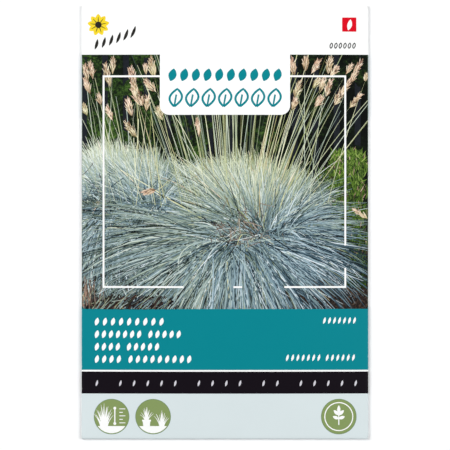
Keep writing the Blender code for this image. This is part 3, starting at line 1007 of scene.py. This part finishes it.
# ------------------------------------------------------------------ the three badges at the foot
# Green discs with a thin darker rim. Two carry a white silhouette standing on white ground, a tuft beside a
# height gauge and a tuft in a pot beside a small one. The third carries a ring round a sprig.

badge_radius, badge_rim = 5.07, 0.16
badge_y = -55.52
badge_x = (-32.43, -20.56, 32.54)
ground_y = -58.23
disc_hole = 0.02  # radius of the open middle of a disc, too small to be seen
rim_lift, ground_lift, gauge_lift, picture_lift = 0.023, 0.027, 0.028, 0.029
tuft_lift, pot_lift = 0.030, 0.038


def ring(centre, inner, outer, lift, sectors=72):
    """Ring or disc: radius * cos(turn) to the right and radius * sin(turn) up, in even steps of both."""
    radius = evenly(inner, outer, 1.0)[:, None]
    turn = 2 * np.pi * np.arange(sectors) / sectors
    x, y = centre[0] + radius * np.cos(turn), centre[1] + radius * np.sin(turn)
    numbers = np.arange(x.size).reshape(x.shape)
    numbers = np.concatenate([numbers, numbers[:, :1]], 1)
    return laid(x, y, lift).reshape(-1, 3), grid_quads(numbers)


def bottom_of_disc(centre, radius, top, lift):
    """The part of a disc below a level line: half as wide as the root of radius^2 - (y - middle)^2."""
    y = evenly(centre[1] - radius + disc_hole, top, 0.25)
    half = np.sqrt(radius**2 - (y - centre[1]) ** 2)
    return patch(centre[0] - half, centre[0] + half, y, lift)


def small_tuft(seed, foot, height, spread, lean, blades, width):
    """Tapering blades side by side on a foot that spreads to both sides, the outer ones leaning out.

    lean is the outermost blade's, in degrees. Outer blades are shorter and thinner and bend out farther.
    """
    chance = np.random.default_rng(seed)
    fan = np.linspace(-1, 1, blades) + chance.normal(0, 0.05, blades)
    fan = fan * np.abs(fan) ** 0.5
    bearing = np.radians(90 - lean * fan)
    length = height * (1 - 0.30 * np.abs(fan)) * chance.uniform(0.80, 1.05, blades)
    start = (foot[0] + spread * fan, np.full(blades, foot[1]))
    path = straight(start, bearing, length, -0.62 * fan, 9)
    taper = (width * (1 - 0.5 * np.abs(fan)))[:, None] * (1 - np.linspace(0, 1, 9) ** 1.1) + 0.05
    return ribbon(path, taper, tuft_lift + 0.0006 * np.arange(blades))


badge_discs = [ring((x, badge_y), disc_hole, badge_radius, small_lift) for x in badge_x]
new_piece("print_badge_discs", *joined(*badge_discs), flat_ink("badge green", ink(131, 150, 94)))
badge_rims = [ring((x, badge_y), badge_radius - badge_rim, badge_radius, rim_lift) for x in badge_x]
new_piece("print_badge_rims", *joined(*badge_rims), flat_ink("badge rim green", ink(112, 138, 100)))

grounds = [bottom_of_disc((x, badge_y), badge_radius - 0.3, ground_y, ground_lift) for x in badge_x[:2]]
gauge_x, gauge_foot, gauge_head = -31.5, -57.5, -53.1
gauge_half, gauge_ball, tick_left, tick_half = 0.17, 0.42, -30.2, 0.11
gauge = [oblong(gauge_x - gauge_half, gauge_x + gauge_half, gauge_foot, gauge_head, gauge_lift, 0.5),
         ring((gauge_x, gauge_head), disc_hole, gauge_ball, picture_lift, 16),
         ring((gauge_x, gauge_foot), disc_hole, gauge_ball, picture_lift, 16)]
ticks = [oblong(tick_left, tick_left + tick_length, y - tick_half, y + tick_half, gauge_lift, 0.5)
         for y, tick_length in ((-53.3, 1.7), (-54.3, 1.0), (-55.3, 1.7), (-56.3, 1.0), (-57.3, 1.7))]
pot_x, pot_head = -22.43, -56.4
pot_y = evenly(ground_y - 0.1, pot_head - 0.4, 0.3)
pot_edge = 0.92 + 0.18 * (pot_y - pot_y[0]) / (pot_y[-1] - pot_y[0])
pot_rim_half, pot_rim_height = 1.27, 0.5
pot = [patch(pot_x - pot_edge, pot_x + pot_edge, pot_y, pot_lift, 0.5),
       oblong(pot_x - pot_rim_half, pot_x + pot_rim_half, pot_head - pot_rim_height, pot_head,
              pot_lift + 0.001, 0.5)]
sprig_x = badge_x[2]
sprig_bearing = np.radians([90, 45, 135, 20, 160])
sprig_foot = badge_y + np.array([0.8, 0.4, 0.4, -0.6, -0.6])
sprig_length = np.array([2.4, 2.0, 2.0, 1.8, 1.8])
sprig = [leaves(sprig_x + np.zeros(5), sprig_foot, sprig_length, sprig_bearing, bend=0.0, width=0.95,
                lift=tuft_lift),
         oblong(sprig_x - 0.15, sprig_x + 0.15, badge_y - 2.4, badge_y + 1.0, picture_lift, 0.5),
         ring((sprig_x, badge_y), 3.85, 4.15, picture_lift)]
big_tuft = small_tuft(seed=3, foot=(-34.6, ground_y - 0.1), height=6.4, spread=0.95, lean=10, blades=16,
                      width=0.60)
pot_tuft = small_tuft(seed=4, foot=(pot_x, pot_head - 0.3), height=3.8, spread=0.30, lean=20, blades=11,
                      width=0.42)
side_tuft = small_tuft(seed=6, foot=(-18.1, ground_y - 0.1), height=4.6, spread=0.55, lean=12, blades=11,
                       width=0.48)
new_piece("print_badge_pictures", *joined(
    *grounds, big_tuft, *gauge, *ticks, pot_tuft, *pot, side_tuft, *sprig), white_ink)

# ------------------------------------------------------------------ the marks on the white head
# Printed straight on the white paper: at the left a plain yellow bloom with a dark eye and creases, over a
# rising row of dark leaves, and at the right a red square with a white leaf, over a line of six hollow seeds.

mark_lift = small_lift + 0.006
bloom_x, bloom_y = -36.2, 56.5
petal_count, petal_foot = 9, 0.7
petal_turn = 2 * np.pi * np.arange(petal_count) / petal_count + 0.2
petals = leaves(bloom_x + petal_foot * np.cos(petal_turn), bloom_y + petal_foot * np.sin(petal_turn),
                length=2.4, bearing=petal_turn, bend=0.0, width=1.55, lift=small_lift)
new_piece("print_bloom", *petals, flat_ink("yellow ink", ink(240, 212, 44)))

along_row = np.linspace(0, 1, 6)
rising_leaves = leaves(-37.2 + 10.2 * along_row, 49.5 + 3.3 * along_row**1.2, np.linspace(3.0, 3.6, 6),
                       bearing=np.radians(64 - 8 * along_row), bend=0.35, width=0.85, lift=small_lift)
petal_way = np.stack([np.cos(petal_turn), np.sin(petal_turn)], -1)[:, None]
petal_creases = ribbon(np.array([bloom_x, bloom_y]) + petal_way * np.linspace(1.0, 2.3, 4)[:, None],
                       np.linspace(0.26, 0.10, 4), np.full(petal_count, mark_lift))
bloom_eye = ring((bloom_x, bloom_y), disc_hole, 0.95, mark_lift, 32)
new_piece("print_head_leaves", *joined(rising_leaves, petal_creases, bloom_eye),
          flat_ink("black ink", ink(38, 36, 34)))

new_piece("print_red_square", *oblong(33.5, 37.55, 54.55, 58.6, small_lift),
          flat_ink("red ink", ink(214, 4, 30)))
square_leaf = leaves([35.2], 55.0, length=3.1, bearing=np.radians(68), bend=0.3, width=1.35, lift=mark_lift)
new_piece("print_square_leaf", *square_leaf, white_ink)
hollow_seeds = hollow_leaves(np.linspace(30.25, 36.75, 6), 49.75, out=0.36, height=1.55, power=0.8, line=0.27,
                             lift=small_lift)
new_piece("print_hollow_seeds", *hollow_seeds, flat_ink("grey ink", ink(60, 60, 62)))

# ------------------------------------------------------------------ table, light and camera
# A white table that glows a little, as a light table does, a soft light on each side like a copying stand's,
# and a long lens straight above. These sizes are in metres.

floor_mesh = bpy.data.meshes.new("table_top")
floor_half, floor_z = 3.0, -2e-5
floor_corners = [(x * floor_half, y * floor_half, floor_z) for x, y in ((-1, -1), (1, -1), (1, 1), (-1, 1))]
floor_mesh.from_pydata(floor_corners, [], [(0, 1, 2, 3)])
floor_material, _, floor_shader = new_material("table top", 0.7, 0.1)
floor_shader.inputs["Base Color"].default_value = ink(244, 245, 246)
floor_shader.inputs["Emission Color"].default_value = ink(255, 255, 255)
floor_shader.inputs["Emission Strength"].default_value = 0.06
floor_mesh.materials.append(floor_material)
floor = bpy.data.objects.new("table_top", floor_mesh)
bpy.context.scene.collection.objects.link(floor)

world = bpy.data.worlds.new("studio")
world.use_nodes = True
sky = world.node_tree
looking = add_node(sky, "ShaderNodeTexCoord").outputs["Generated"]
upward = add_node(sky, "ShaderNodeSeparateXYZ", {"Vector": looking}).outputs["Z"]
shade = ramp(sky, upward, [
    (0.0, (1.0, 1.0, 1.0, 1.0)), (0.75, (0.8, 0.8, 0.8, 1.0)), (0.97, (0.12, 0.12, 0.12, 1.0))])
sky.links.new(shade, sky.nodes["Background"].inputs["Color"])
sky.nodes["Background"].inputs["Strength"].default_value = 0.50
bpy.context.scene.world = world


def soft_light(name, place, size, power):
    """A square soft light aimed at the packet."""
    lamp = bpy.data.lights.new(name, "AREA")
    lamp.size = size
    lamp.energy = power
    light = bpy.data.objects.new(name, lamp)
    light.location = place
    light.rotation_euler = (-light.location).to_track_quat("-Z", "Y").to_euler()
    bpy.context.scene.collection.objects.link(light)


soft_light("light_left", (-0.75, 0.40, 0.75), size=0.6, power=8.9)
soft_light("light_right", (0.80, 0.10, 0.75), size=0.6, power=6.5)

camera_data = bpy.data.cameras.new("camera")
camera_data.lens = 150.0
camera_data.sensor_width = 36.0
field_width, camera_y = 128.9 * MM, -0.74 * MM
camera = bpy.data.objects.new("camera", camera_data)
camera.location = (0.0, camera_y, field_width * camera_data.lens / camera_data.sensor_width)
bpy.context.scene.collection.objects.link(camera)
bpy.context.scene.camera = camera
bpy.context.scene.view_settings.view_transform = "Standard"
